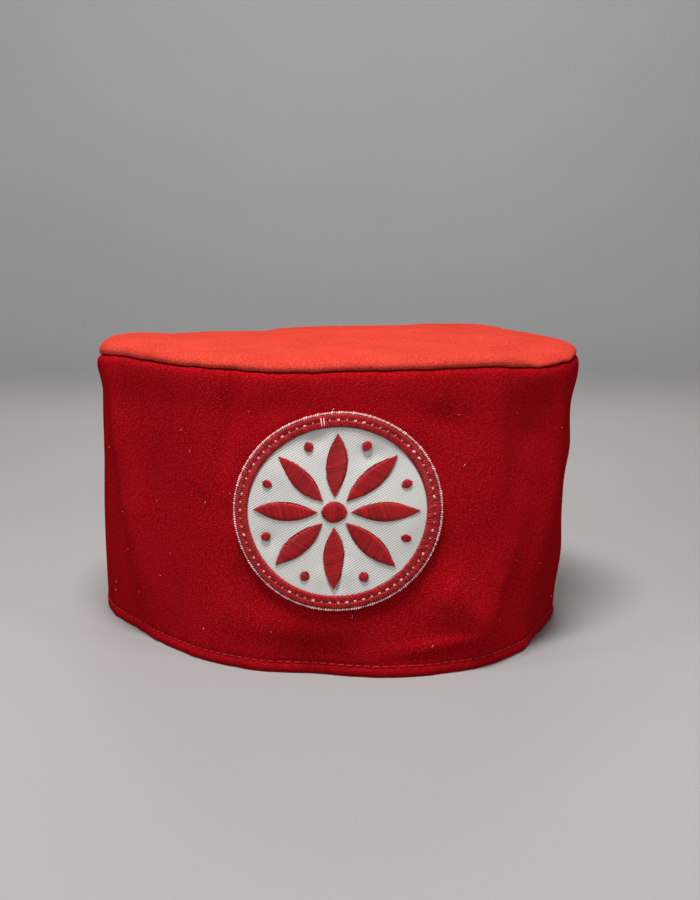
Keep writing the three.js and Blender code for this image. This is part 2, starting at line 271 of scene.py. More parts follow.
# Uneven waves that run round a ring. count: waves in a whole turn. start: degrees. size: share.
Wave = namedtuple("Wave", "count start size")
SEAM_WAVES = [Wave(31, 20, 0.5), Wave(47, 110, 0.45), Wave(74, 250, 0.35), Wave(113, 75, 0.2)]
HEM_WAVES = [Wave(23, 65, 0.5), Wave(41, 10, 0.4), Wave(67, 200, 0.3)]
PATCH_WAVES = [Wave(9, 40, 0.5), Wave(14, 160, 0.45), Wave(23, 300, 0.35)]


def ease(t):
    return t * t * (3 - 2 * t)


def signed(angle):
    """The same angle between -180 and 180 degrees."""
    return (angle + 180) % 360 - 180


def between(rows, place, column):
    """The value of one column between the two rows of a table that each place lies between."""
    places = np.array([row[0] for row in rows], dtype=float)
    values = np.array([getattr(row, column) for row in rows], dtype=float)
    place = np.clip(place, places[0], places[-1])
    after = np.clip(np.searchsorted(places, place), 1, len(rows) - 1)
    share = (place - places[after - 1]) / (places[after] - places[after - 1])
    return values[after - 1] + (values[after] - values[after - 1]) * ease(share)


def waves(rows, at):
    return sum(row.size * np.sin(np.radians(row.count * at + row.start)) for row in rows)


def past_patch(at, height):
    """How far a place on the band lies beyond the patch's edge, and which way from its middle."""
    right = np.radians(signed(at - PATCH_AT)) * BAND_RADIUS
    up = height - PATCH_MIDDLE
    return np.hypot(right, up) - PATCH_RADIUS, np.degrees(np.arctan2(right, up))


def folds_at(rows, depth, at, height):
    """How far the folds of a table push the band out, away from the patch."""
    total = 0
    for fold in rows:
        right = np.radians(signed(at - fold.at)) * BAND_RADIUS
        up = height - fold.up * BAND_HEIGHT
        lean = math.radians(fold.lean)
        along = (up * math.cos(lean) + right * math.sin(lean)) / (fold.along * BAND_HEIGHT)
        across = (right * math.cos(lean) - up * math.sin(lean)) / (fold.across * BAND_HEIGHT)
        total = total + fold.out * depth * np.exp(-(along**2) - across**2)
    away, _ = past_patch(at, height)
    return total * ease(np.clip(away / PATCH_HOLD, 0, 1))


def swell_at(right, back, share):
    """How far the crown's swells lift it, down to nothing at its rim."""
    rise = 0
    for swell in SWELLS:
        x = (right / BAND_RADIUS - swell.right) / swell.wide
        y = (back / BAND_RADIUS - swell.back) / swell.deep
        rise = rise + swell.rise * CROWN_DENT * np.exp(-(x**2) - y**2)
    return rise * (1 - share**6)


def crown_middle():
    """The crown's middle in the frame: the corner of the CAD crown nearest to the upright axis."""
    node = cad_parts["crown_top"]
    corners = [node.matrix_world @ vertex.co for vertex in node.data.vertices]
    pole = min(corners, key=lambda corner: corner.xy.length)
    return np.array([pole.x, pole.y, 0])


MIDDLE = crown_middle()


def cap_point(at, height, radius, relief=0.0):
    """Places in space of points given by angle, height and radius on an unshaped round cap.
    relief pushes them out along the radius."""
    up = np.minimum(1, height / BAND_HEIGHT)
    share = np.minimum(1, radius / (RIM_SHARE * BAND_RADIUS))
    turn = between(SECTIONS, up, "turn")
    oval = BAND_RADIUS * between(SECTIONS, up, "oval") * np.cos(np.radians(2 * (at - turn)))
    plan = oval + folds_at(FOLDS, FOLD_DEPTH, at, height)
    out = radius + share * plan + relief
    right = out * np.sin(np.radians(at)) + BAND_RADIUS * between(SECTIONS, up, "right")
    back = -out * np.cos(np.radians(at))
    seam = up * share**2 * BAND_HEIGHT * between(SEAM_LINE, signed(at), "rise")
    swell = np.where(height > BAND_HEIGHT, swell_at(right, back, share), 0)
    puff = np.maximum(0, height - BAND_HEIGHT) * share**4 * between(SEAM_LINE, signed(at), "puff")
    return np.stack(np.broadcast_arrays(right, back, height + seam + swell + puff), axis=-1) + MIDDLE


def front_point(right, up, lift):
    """Places on the front, right of and above the patch's middle, lifted off the band."""
    at = PATCH_AT + np.degrees(right / BAND_RADIUS)
    return cap_point(at, PATCH_MIDDLE + up * PATCH_HEIGHT / PATCH_WIDTH, BAND_RADIUS + lift)


def unit(vectors):
    return vectors / np.linalg.norm(vectors, axis=-1, keepdims=True)


# Meshes


def quarter(middle, first_half, second_half, count):
    """Points on a quarter of an ellipse, from the end of its first half-axis to the end of its second."""
    turn = np.linspace(0, math.pi / 2, count + 1)[1:, None]
    return np.array(middle) + np.cos(turn) * np.array(first_half) + np.sin(turn) * np.array(second_half)


def run(start, end, count):
    """Evenly spaced points on a straight line, without its first."""
    share = np.linspace(0, 1, count + 1)[1:, None]
    return np.array(start) + share * (np.array(end) - np.array(start))


def skin(name, places, uvs, material):
    """A closed mesh over rings of places. Where its first ring is a point its last is too, and
    otherwise the last ring joins the first. uvs hold one more column and ring than the places."""
    rings, columns = places.shape[:2]
    poles = np.allclose(places[0, 0], places[0, 1])
    corner = np.arange(rings * columns).reshape(rings, columns)
    if poles:
        corner[0] = 0
        corner[1:-1] = 1 + np.arange((rings - 2) * columns).reshape(rings - 2, columns)
        corner[-1] = 1 + (rings - 2) * columns
        points = np.concatenate([places[0, :1], places[1:-1].reshape(-1, 3), places[-1, :1]])
    else:
        corner = np.concatenate([corner, corner[:1]])
        points = places.reshape(-1, 3)
    corner = np.concatenate([corner, corner[:, :1]], axis=1)
    faces, spots = [], []
    for i in range(len(corner) - 1):
        for j in range(columns):
            around = [(i, j), (i, j + 1), (i + 1, j + 1), (i + 1, j)]
            if poles and i == 0:
                around = around[1:]
            elif poles and i == rings - 2:
                around = around[:3]
            faces.append([int(corner[k]) for k in around])
            spots.extend(uvs[k] for k in around)
    mesh = bpy.data.meshes.new(name)
    mesh.from_pydata(points.tolist(), [], faces)
    mesh.uv_layers.new(name="cloth").data.foreach_set("uv", np.array(spots, dtype=np.float32).ravel())
    mesh.polygons.foreach_set("use_smooth", np.ones(len(faces), dtype=bool))
    mesh.materials.append(material)
    return shown(name, mesh)


def shown(name, mesh):
    piece = bpy.data.objects.new(name, mesh)
    bpy.context.scene.collection.objects.link(piece)
    return piece


def cloth_uvs(profile, columns, flat):
    """The cloth's own coordinates in metres, for each ring and column of a skin and one more of each.
    flat lays them out as a disc round the last ring, and otherwise they are a strip."""
    steps = np.linalg.norm(np.diff(profile, axis=0, append=profile[:1]), axis=1)
    along = np.concatenate([[0], np.cumsum(steps)])[:, None]
    at = np.linspace(-180, 180, columns + 1)[None, :]
    if flat:
        reach = along[-2] - along
        return np.stack([reach * np.sin(np.radians(at)), -reach * np.cos(np.radians(at))], axis=-1)
    return np.stack(np.broadcast_arrays(np.radians(at) * BAND_RADIUS, along), axis=-1)


def turned(name, profile, columns, place, material, flat=False):
    """A closed profile of (radius, height) turned round the cap and put in place."""
    profile = np.array(profile)
    at = np.linspace(-180, 180, columns, endpoint=False)[None, :]
    places = place(at, profile[:, 1:], profile[:, :1])
    return skin(name, places, cloth_uvs(profile, columns, flat), material)


# Band


def band_profile():
    """Down the inside, over the turned hem, across its foot, up the face and over the seam edge."""
    face = BAND_RADIUS
    inside = face - BAND_WALL
    hem_inside = inside - HEM_CLOTH
    seam_edge = BAND_HEIGHT - GAP / 2
    swell_top = BAND_HEIGHT - SEAM_SHOULDER
    heights = np.linspace(HEM_EDGE, swell_top, FACE_ROWS)
    swell = HEM_SWELL * np.sin(np.pi * np.clip(heights / HEM_STITCH_UP, 0, 1))
    pinch = STITCH_PINCH * np.exp(-(((heights - HEM_STITCH_UP) / (2 * STITCH_PINCH)) ** 2))
    flare_from = BAND_HEIGHT - SEAM_FLARE_DOWN
    flare = SEAM_FLARE * ease(np.clip((heights - flare_from) / (swell_top - flare_from), 0, 1))
    face_rows = np.stack([face + swell - pinch + flare, heights], axis=1)
    lip = SEAM_FLARE + SEAM_CREASE
    return np.concatenate([
        run([inside, seam_edge], [inside, HEM_TURN + HEM_CLOTH], INSIDE_ROWS),
        quarter([inside, HEM_TURN], [0, HEM_CLOTH], [-HEM_CLOTH, 0], 4),
        run([hem_inside, HEM_TURN], [hem_inside, HEM_EDGE], 8),
        quarter([hem_inside + HEM_EDGE, HEM_EDGE], [-HEM_EDGE, 0], [0, -HEM_EDGE], 4),
        [[face - HEM_EDGE, 0]],
        quarter([face - HEM_EDGE, HEM_EDGE], [0, -HEM_EDGE], [HEM_EDGE, 0], 5)[:-1],
        face_rows,
        quarter([face - SEAM_CREASE, swell_top], [lip, 0], [0, seam_edge - swell_top], 8),
        [[inside, seam_edge]],
    ])


def band_relief(at, height):
    """The band's finer unevenness: creases, puckers at the seam and patch, and the hem's ripple."""
    creases = folds_at(WRINKLES, WRINKLE_DEPTH, at, height)
    seam = SEAM_PUCKER * np.exp((height - BAND_HEIGHT) / SEAM_PUCKER_REACH) * waves(SEAM_WAVES, at)
    hem = SEAM_PUCKER * np.exp(-height / HEM_TURN) * waves(HEM_WAVES, at)
    away, way = past_patch(at, height)
    patch = PATCH_PUCKER * np.exp(-np.abs(away) / PATCH_PUCKER_REACH) * waves(PATCH_WAVES, way)
    return creases + seam + hem + np.where(away > 0, patch, 0)


def side_band():
    def place(at, height, radius):
        return cap_point(at, height, radius, band_relief(at, height))

    # The band's red is painted darker than the crown's: painted shade.
    return turned("band_cloth", band_profile(), BAND_COLUMNS, place, BAND_RED_PAINTED_SHADE)


# Crown


def crown_profile():
    """Out along the underside, down and up the seam allowance, round the roll and in over the top."""
    flat_to = BAND_RADIUS - CROWN_ROLL_REACH
    roll_top = BAND_HEIGHT + CROWN_ROLL
    roll_out = BAND_HEIGHT + ROLL_UNDER
    seam = BAND_HEIGHT + GAP / 2
    skirt_end = BAND_HEIGHT - SEAM_ALLOWANCE
    skirt_inside = SKIRT_OUTSIDE - SEAM_CLOTH
    out_from = BAND_RADIUS - SEAM_CREASE
    roll_side = BAND_RADIUS + SEAM_FLARE - ROLL_SET_BACK

    def over(shares):
        return np.stack([shares * flat_to, roll_top + CROWN_DOME * (1 - shares**2)], axis=1)

    return np.concatenate([
        over(np.linspace(0, 1, UNDER_RINGS)) - [0, CROWN_CLOTH],
        run([skirt_inside, roll_out], [skirt_inside, skirt_end], 4),
        [[SKIRT_OUTSIDE, skirt_end]],
        run([SKIRT_OUTSIDE, skirt_end], [SKIRT_OUTSIDE, seam], 4),
        [[out_from, seam]],
        quarter([out_from, roll_out], [0, seam - roll_out], [roll_side - out_from, 0], 7),
        quarter([flat_to, roll_out], [roll_side - flat_to, 0], [0, roll_top - roll_out], ROLL_ROWS),
        over(np.linspace(1, 0, CROWN_RINGS))[1:],
    ])


def crown_relief(at, height, radius):
    """Puckers that run in from the seam."""
    inwards = np.exp(-np.abs(BAND_RADIUS - radius) / (2 * SEAM_PUCKER_REACH))
    return np.where(height > BAND_HEIGHT, 0.5 * SEAM_PUCKER * inwards * waves(SEAM_WAVES, at), 0)


def crown_top():
    def place(at, height, radius):
        places = cap_point(at, height, radius, 0)
        places[..., 2] += crown_relief(at, height, radius)
        return places

    # The crown's red is painted lighter and more orange: painted light from above.
    return turned("crown_cloth", crown_profile(), CROWN_COLUMNS, place, CROWN_RED_PAINTED_LIGHT, flat=True)


# Patch


def patch_disc(name, outside, profile, columns, material):
    """A closed profile of (distance from the patch's middle, lift) turned on the front of the band."""
    def place(at, lift, radius):
        right, up = radius * np.sin(np.radians(at)), radius * np.cos(np.radians(at))
        dented = ground_relief(right, up) * (lift > GAP) * (1 - (radius / outside) ** 8)
        return front_point(right, up, lift + dented)

    return turned(name, profile, columns, place, material, flat=True)


def ground_relief(right, up):
    rise = 0
    for dent in GROUND_DENTS:
        x = (right / PATCH_RADIUS - dent.right) / dent.wide
        y = (up / PATCH_RADIUS - dent.up) / dent.high
        rise = rise + dent.rise * PATCH_CLOTH * np.exp(-(x**2) - y**2)
    return rise


def patch_ground():
    top = GAP + PATCH_CLOTH
    radii = np.linspace(0, PATCH_RADIUS, PATCH_RINGS)
    under = np.stack([radii, np.full(PATCH_RINGS, GAP)], axis=1)
    over = np.stack([radii[::-1], np.full(PATCH_RINGS, top)], axis=1)
    profile = np.concatenate([under, over])
    return patch_disc("patch_twill", PATCH_RADIUS, profile, PATCH_COLUMNS, WHITE_TWILL)


def ring_base(name, inside, outside, low, high, material):
    """The padding under a ring of stitches: a low ring with rounded shoulders."""
    turn = np.radians(np.linspace(0, 360, BASE_SIDES, endpoint=False))
    radii = (inside + outside) / 2 - (outside - inside) / 2 * np.cos(turn)
    lifts = (low + high) / 2 + (high - low) / 2 * np.sin(turn)
    profile = np.stack([radii, lifts], axis=1)
    return patch_disc(name, outside * 2, profile, PATCH_COLUMNS, material)


def leaf_base(name, middle, turn, half_wide, half_long, pointed, material):
    """The padding under a part of the rosette, a low dome on the patch."""
    shares = np.linspace(0, 1, LEAF_RINGS)
    dome = STITCH_BASE + 0.7 * STITCH_LIFT * np.sqrt(1 - shares[::-1] ** 2)
    lifts = np.concatenate([np.full(LEAF_RINGS, STITCH_BASE), dome])
    radii = np.concatenate([shares, shares[::-1]])

    def place(at, lift, radius):
        across, along = radius * np.sin(np.radians(at)), radius * np.cos(np.radians(at))
        if pointed:
            across = across * np.abs(np.sin(np.radians(at)))
        right, up = turned_back(across * half_wide, along * half_long + middle, turn)
        return front_point(right, up, lift)

    return turned(name, np.stack([radii, lifts], axis=1), LEAF_COLUMNS, place, material, flat=True)


# Stitches


def stitch_shape():
    """One stitch: a thread along X, 2 long and 1 wide, that rises to 1 in its middle.
    Its ends dive into the cloth."""
    stations, sides = 7, 6
    rings = []
    for i in range(stations):
        x = -1 + 2 * (i + 1) / (stations + 1)
        rise = (1 - x**4) ** 0.5
        for j in range(sides):
            turn = 2 * math.pi * j / sides
            rings.append((x, 0.5 * math.cos(turn), rise - 0.3 + 0.3 * math.sin(turn)))
    ends = [(-1, 0, -0.2), (1, 0, -0.2)]
    last = len(rings)
    faces = []
    for j in range(sides):
        k = (j + 1) % sides
        faces.append((last, k, j))
        faces.append((last + 1, last - sides + j, last - sides + k))
        for i in range(stations - 1):
            low, high = i * sides, (i + 1) * sides
            faces.append((low + j, low + k, high + k, high + j))
    mesh = bpy.data.meshes.new("stitch_shape")
    mesh.from_pydata(rings + ends, [], faces)
    mesh.polygons.foreach_set("use_smooth", [True] * len(faces))
    return shown("stitch_shape", mesh)


STITCH = stitch_shape()


def link(tree, start, end):
    """Links two sockets, each given as (node, name). Where names repeat, the one in use is taken."""
    outs = [s for s in start[0].outputs if s.name == start[1] and s.enabled]
    ins = [s for s in end[0].inputs if s.name == end[1] and s.enabled]
    tree.links.new(outs[0], ins[0])


def node(tree, kind, **values):
    made = tree.nodes.new(kind)
    for name, value in values.items():
        setattr(made, name, value)
    return made


def put(made, **values):
    """Sets sockets of a node by name, with _ for a blank."""
    for name, value in values.items():
        wanted = name.replace("_", " ")
        [s for s in made.inputs if s.name == wanted and s.enabled][0].default_value = value
    return made


ROW_INPUTS = [
    ("Guide", "NodeSocketObject"),
    ("Stitch", "NodeSocketObject"),
    ("Spacing", "NodeSocketFloat"),
    ("Thread width", "NodeSocketFloat"),
    ("Least length", "NodeSocketFloat"),
    ("Wander", "NodeSocketFloat"),
    ("Seed", "NodeSocketInt"),
    ("Thread", "NodeSocketMaterial"),
]


def named_attribute(tree, name, kind):
    return put(node(tree, "GeometryNodeInputNamedAttribute", data_type=kind), Name=name)


def stitch_row_tree():
    """Lays stitches side by side along a guide line and joins them to the piece.
    Each point of the guide holds across, half a stitch, out, the way it stands up, and tall, its height."""
    tree = bpy.data.node_groups.new("stitch_row", "GeometryNodeTree")
    sockets = tree.interface
    sockets.new_socket("Geometry", in_out="INPUT", socket_type="NodeSocketGeometry")
    for name, kind in ROW_INPUTS:
        sockets.new_socket(name, in_out="INPUT", socket_type=kind)
    sockets.new_socket("Geometry", in_out="OUTPUT", socket_type="NodeSocketGeometry")
    given = node(tree, "NodeGroupInput")
    guide = node(tree, "GeometryNodeObjectInfo")
    shape = node(tree, "GeometryNodeObjectInfo")
    curve = node(tree, "GeometryNodeMeshToCurve")
    spaced = node(tree, "GeometryNodeResampleCurve", mode="LENGTH")
    across = named_attribute(tree, "across", "FLOAT_VECTOR")
    out = named_attribute(tree, "out", "FLOAT_VECTOR")
    tall = named_attribute(tree, "tall", "FLOAT")
    half = node(tree, "ShaderNodeVectorMath", operation="LENGTH")
    length = put(node(tree, "FunctionNodeRandomValue", data_type="FLOAT"), Max=LONGEST_STITCH)
    reach = node(tree, "ShaderNodeMath", operation="MULTIPLY")
    size = node(tree, "ShaderNodeCombineXYZ")
    facing = node(tree, "FunctionNodeAxesToRotation", primary_axis="X", secondary_axis="Z")
    swing = node(tree, "FunctionNodeRandomValue", data_type="FLOAT")
    other = node(tree, "ShaderNodeMath", operation="MULTIPLY")
    other.inputs[1].default_value = -1
    swing_turn = node(tree, "ShaderNodeCombineXYZ")
    as_turn = node(tree, "FunctionNodeEulerToRotation")
    swung = node(tree, "FunctionNodeRotateRotation", rotation_space="LOCAL")
    placed = node(tree, "GeometryNodeInstanceOnPoints")
    shade = put(node(tree, "FunctionNodeRandomValue", data_type="FLOAT"), Min=0.0, Max=1.0)
    toned = node(tree, "GeometryNodeStoreNamedAttribute", data_type="FLOAT", domain="INSTANCE")
    put(toned, Name="tone")
    real = node(tree, "GeometryNodeRealizeInstances")
    dyed = node(tree, "GeometryNodeSetMaterial")
    joined = node(tree, "GeometryNodeJoinGeometry")
    result = node(tree, "NodeGroupOutput")
    link(tree, (given, "Guide"), (guide, "Object"))
    link(tree, (given, "Stitch"), (shape, "Object"))
    link(tree, (guide, "Geometry"), (curve, "Mesh"))
    link(tree, (curve, "Curve"), (spaced, "Curve"))
    link(tree, (given, "Spacing"), (spaced, "Length"))
    link(tree, (across, "Attribute"), (half, "Vector"))
    link(tree, (given, "Least length"), (length, "Min"))
    link(tree, (given, "Seed"), (length, "Seed"))
    tree.links.new(half.outputs["Value"], reach.inputs[0])
    tree.links.new([s for s in length.outputs if s.enabled][0], reach.inputs[1])
    tree.links.new(reach.outputs[0], size.inputs["X"])
    link(tree, (given, "Thread width"), (size, "Y"))
    link(tree, (tall, "Attribute"), (size, "Z"))
    link(tree, (across, "Attribute"), (facing, "Primary Axis"))
    link(tree, (out, "Attribute"), (facing, "Secondary Axis"))
    tree.links.new(given.outputs["Wander"], other.inputs[0])
    link(tree, (other, "Value"), (swing, "Min"))
    link(tree, (given, "Wander"), (swing, "Max"))
    link(tree, (given, "Seed"), (swing, "Seed"))
    link(tree, (swing, "Value"), (swing_turn, "Z"))
    link(tree, (swing_turn, "Vector"), (as_turn, "Euler"))
    link(tree, (facing, "Rotation"), (swung, "Rotation"))
    link(tree, (as_turn, "Rotation"), (swung, "Rotate By"))
    link(tree, (spaced, "Curve"), (placed, "Points"))
    link(tree, (shape, "Geometry"), (placed, "Instance"))
    link(tree, (swung, "Rotation"), (placed, "Rotation"))
    link(tree, (size, "Vector"), (placed, "Scale"))
    link(tree, (given, "Seed"), (shade, "Seed"))
    link(tree, (placed, "Instances"), (toned, "Geometry"))
    link(tree, (shade, "Value"), (toned, "Value"))
    link(tree, (toned, "Geometry"), (real, "Geometry"))
    link(tree, (real, "Geometry"), (dyed, "Geometry"))
    link(tree, (given, "Thread"), (dyed, "Material"))
    link(tree, (given, "Geometry"), (joined, "Geometry"))
    link(tree, (dyed, "Geometry"), (joined, "Geometry"))
    link(tree, (joined, "Geometry"), (result, "Geometry"))
    return tree


STITCH_ROW = stitch_row_tree()


def guide_line(points, across, out, tall, closed):
    """A hidden line that a row of stitches follows."""
    count = len(points)
    edges = [(i, (i + 1) % count) for i in range(count if closed else count - 1)]
    mesh = bpy.data.meshes.new("guide")
    mesh.from_pydata(points.tolist(), edges, [])
    for name, values in (("across", across), ("out", unit(out))):
        mesh.attributes.new(name, "FLOAT_VECTOR", "POINT").data.foreach_set("vector", values.ravel())
    heights = np.broadcast_to(tall, count).copy()
    mesh.attributes.new("tall", "FLOAT", "POINT").data.foreach_set("value", heights)
    return shown("guide", mesh)


def stitch(piece, guide, thread, spacing, width, seed, least=0.94, wander=0.04):
    """Adds a row of stitches along a guide line to a piece and makes the result plain mesh."""
    modifier = piece.modifiers.new("stitches", "NODES")
    modifier.node_group = STITCH_ROW
    values = {
        "Guide": guide,
        "Stitch": STITCH,
        "Spacing": spacing,
        "Thread width": width,
        "Least length": least,
        "Wander": wander,
        "Seed": seed,
        "Thread": thread,
    }
    for item in STITCH_ROW.interface.items_tree:
        if item.name in values:
            modifier[item.identifier] = values[item.name]
    plain(piece)
    bpy.data.objects.remove(guide)


def plain(piece):
    """Turns what a piece's modifiers make into its own mesh."""
    graph = bpy.context.evaluated_depsgraph_get()
    mesh = bpy.data.meshes.new_from_object(piece.evaluated_get(graph))
    piece.modifiers.clear()
    piece.data = mesh


def front_guide(right, up, half_right, half_up, lift, tall, closed=False):
    """A guide line on the patch, from places and half-stitches in the patch's own plane."""
    points = front_point(right, up, lift)
    start = front_point(right - half_right, up - half_up, lift)
    end = front_point(right + half_right, up + half_up, lift)
    out = front_point(right, up, lift + OUT_STEP) - points
    return guide_line(points, (end - start) / 2, out, tall, closed)


def ring_guide(radius, half, slant, lift, tall):
    """A guide round the patch whose stitches lie along the radius, slanted by some degrees."""
    at = np.radians(np.linspace(0, 360, RING_POINTS, endpoint=False))
    aim = at + math.radians(slant)
    right, up = radius * np.sin(at), radius * np.cos(at)
    half_right, half_up = half * np.sin(aim), half * np.cos(aim)
    return front_guide(right, up, half_right, half_up, lift, tall, closed=True)


def patch_border():
    """The border: two rows of slanted thread with a groove between, where the holding stitches lie."""
    outside, inside = BORDER_OUTSIDE, BORDER_INSIDE
    top = STITCH_BASE + 0.7 * BORDER_LIFT
    # The ring under the stitches is painted darker, as shade between them.
    piece = ring_base("border_stitching", inside, outside, STITCH_BASE, top, PADDING_WITH_PAINTED_SHADE)
    outer, inner = OUTER_RIDGE * BORDER_WIDTH, (1 - OUTER_RIDGE) * BORDER_WIDTH
    for radius, half, slant, seed in (
        (outside - outer / 2, 0.56 * outer, OUTER_SLANT, 11),
        (inside + inner / 2, 0.54 * inner, INNER_SLANT, 12),
    ):
        guide = ring_guide(radius, half, slant, STITCH_BASE, BORDER_LIFT)
        stitch(piece, guide, RED_THREAD, BORDER_SPACING, BORDER_THREAD, seed, least=0.88, wander=0.2)
    return piece


def holding_stitches(piece):
    """The stitches in the border's groove that hold the patch on the band."""
    radius = BORDER_INSIDE + 0.54 * BORDER_WIDTH
    guide = ring_guide(radius, 0.24 * HOLDING_SPACING, 90, STITCH_BASE + 0.1 * BORDER_LIFT, BORDER_LIFT)
    stitch(piece, guide, HOLDING_THREAD, HOLDING_SPACING, HOLDING_WIDTH, seed=13, least=0.5, wander=0.5)


def thread_end(piece):
    """The pale end of the border's thread, laid across the border left of its top."""
    at = np.radians(THREAD_END_AT + np.array([-THREAD_END_SPREAD, 0, THREAD_END_SPREAD]))
    radius, half = (BORDER_INSIDE + BORDER_OUTSIDE) / 2, 0.42 * BORDER_WIDTH
    right, up = radius * np.sin(at), radius * np.cos(at)
    half_right, half_up = half * np.sin(at), half * np.cos(at)
    guide = front_guide(right, up, half_right, half_up, STITCH_BASE, 1.15 * BORDER_LIFT)
    stitch(piece, guide, PALE_THREAD, BORDER_SPACING, THREAD_END_WIDTH, seed=14)


def raw_edge():
    """The patch's cut edge beyond the border: a thin cord, dark as painted shade under the loops, with
    short pale loops all round it.
    """
    inside, outside = BORDER_OUTSIDE - 0.2 * RAW_EDGE, PATCH_RADIUS + 0.35 * RAW_EDGE
    top = STITCH_BASE + 0.3 * BORDER_LIFT
    piece = ring_base("raw_edge", inside, outside, 0, top, PADDING_WITH_PAINTED_SHADE)
    middle, half = BORDER_OUTSIDE + 0.6 * RAW_EDGE, 0.85 * RAW_EDGE
    guide = ring_guide(middle, half, FRAY_SLANT, STITCH_BASE, 0.65 * BORDER_LIFT)
    stitch(piece, guide, PALE_THREAD, FRAY_SPACING, FRAY_WIDTH, seed=21, least=0.6, wander=0.4)
    return piece


def turned_back(x, y, turn):
    """Patch-plane places turned clockwise by some degrees."""
    spin = math.radians(turn)
    return x * math.cos(spin) + y * math.sin(spin), y * math.cos(spin) - x * math.sin(spin)


def leaf_guide(middle, turn, half_wide, half_long, pointed, slant):
    """A guide along a part of the rosette, with stitches across it from edge to edge."""
    share = np.linspace(-0.985, 0.985, LEAF_POINTS)
    width = half_wide * ((1 - share**2) if pointed else np.sqrt(1 - share**2))
    tall = STITCH_LIFT * (0.55 + 0.45 * np.sqrt(1 - share**2))
    right, up = turned_back(np.zeros(LEAF_POINTS), middle + share * half_long, turn)
    tilt = math.radians(slant)
    half_right, half_up = turned_back(width * math.cos(tilt), width * math.sin(tilt), turn)
    return front_guide(right, up, half_right, half_up, STITCH_BASE, tall)


def satin(name, middle, turn, half_wide, half_long, pointed, slant, seed):
    """One raised part of the rosette: padding with satin stitches over it."""
    piece = leaf_base(name, middle, turn, 0.92 * half_wide, 0.97 * half_long, pointed, PADDING_WITH_PAINTED_SHADE)
    guide = leaf_guide(middle, turn, half_wide, half_long, pointed, slant)
    stitch(piece, guide, RED_THREAD, SATIN_SPACING, SATIN_WIDTH, seed)
    return piece


def petal(number):
    start = HEART_RADIUS + HEART_CLEARANCE
    end = BORDER_INSIDE - PETAL_TIP_CLEARANCE
    turn = 360 * number / PETALS
    return satin(f"petal_stitching_{number + 1}", (start + end) / 2, turn, PETAL_WIDTH / 2,
                 (end - start) / 2, pointed=True, slant=PETAL_SLANT, seed=30 + number)


def knot(number):
    distance = BORDER_INSIDE - KNOT_CLEARANCE - KNOT_RADIUS
    turn = 360 * (number + 0.5) / PETALS
    return satin(f"knot_stitching_{number + 1}", distance, turn, KNOT_RADIUS,
                 KNOT_RADIUS, pointed=False, slant=0, seed=50 + number)


def heart():
    return satin("heart_stitching", 0, 90, HEART_RADIUS,
                 HEART_RADIUS, pointed=False, slant=0, seed=70)


def band_guide(at, height, radius, half, side, tall, closed):
    """A guide on the band whose stitches run round it. side is 1 on the outside and -1 inside."""
    relief = band_relief(at, height)
    step = math.degrees(half / BAND_RADIUS)
    points = cap_point(at, height, radius, relief)
    start = cap_point(at - step, height, radius, relief)
    end = cap_point(at + step, height, radius, relief)
    out = side * (cap_point(at, height, radius + OUT_STEP, relief) - points)
    return guide_line(points, (end - start) / 2, out, tall, closed)


def hem_stitches():
    """The running stitch round the hem, outside and in."""
    at = np.linspace(-180, 180, HEM_POINTS, endpoint=False)
    height = np.full(HEM_POINTS, HEM_STITCH_UP)
    outside = BAND_RADIUS - STITCH_PINCH + HEM_PROUD
    inside = BAND_RADIUS - BAND_WALL - HEM_CLOTH
    piece = shown("hem_stitches", bpy.data.meshes.new("hem_stitches"))
    for side, radius, seed in ((1, outside, 81), (-1, inside, 82)):
        guide = band_guide(at, height, radius, 0.4 * HEM_SPACING, side, HEM_RISE, closed=True)
        stitch(piece, guide, RED_THREAD, HEM_SPACING, HEM_WIDTH, seed, least=0.9, wander=0.03)
    return piece


def lint():
    """Short pale fibres that cling to the band, along a line that winds round it and up and down."""
    at = np.linspace(0, 360 * LINT_TURNS, LINT_POINTS)
    height = BAND_HEIGHT * (0.5 + 0.4 * np.sin(np.radians(at * LINT_WAVES)))
    guide = band_guide(at, height, BAND_RADIUS, LINT_LENGTH / 2, 1, LINT_RISE, closed=False)
    piece = shown("lint", bpy.data.meshes.new("lint"))
    stitch(piece, guide, PALE_THREAD, LINT_SPACING, LINT_WIDTH, seed=91, least=0.25, wander=1.5)
    return piece


# Materials

TWILL_LEAN = 48


def wave(tree, where, angle, pitch, distortion):
    """Parallel ridges of a pitch in metres, turned by an angle, over a piece's own coordinates."""
    turned_uv = put(node(tree, "ShaderNodeMapping"), Rotation=(0, 0, math.radians(angle)))
    ridges = put(node(tree, "ShaderNodeTexWave", wave_type="BANDS", bands_direction="X"),
                 Scale=math.pi / 10 / pitch, Distortion=distortion, Detail=2.0, Detail_Scale=1.5)
    link(tree, where, (turned_uv, "Vector"))
    link(tree, (turned_uv, "Vector"), (ridges, "Vector"))
    return ridges, "Fac"


def noise(tree, where, size, detail, angle=0, stretch=1):
    """Soft noise with features of a size in metres, drawn out along an angle."""
    scaled = node(tree, "ShaderNodeMapping", vector_type="TEXTURE")
    put(scaled, Rotation=(0, 0, math.radians(angle)), Scale=(size * stretch, size, size))
    cloud = put(node(tree, "ShaderNodeTexNoise"), Scale=1.0, Detail=detail, Roughness=0.55)
    link(tree, where, (scaled, "Vector"))
    link(tree, (scaled, "Vector"), (cloud, "Vector"))
    return cloud, "Fac"


def ranged(tree, source, low, high, start=0.0, end=1.0):
    """A value brought from between start and end to between low and high."""
    made = put(node(tree, "ShaderNodeMapRange"), From_Min=start, From_Max=end, To_Min=low, To_Max=high)
    link(tree, source, (made, "Value"))
    return made, "Result"


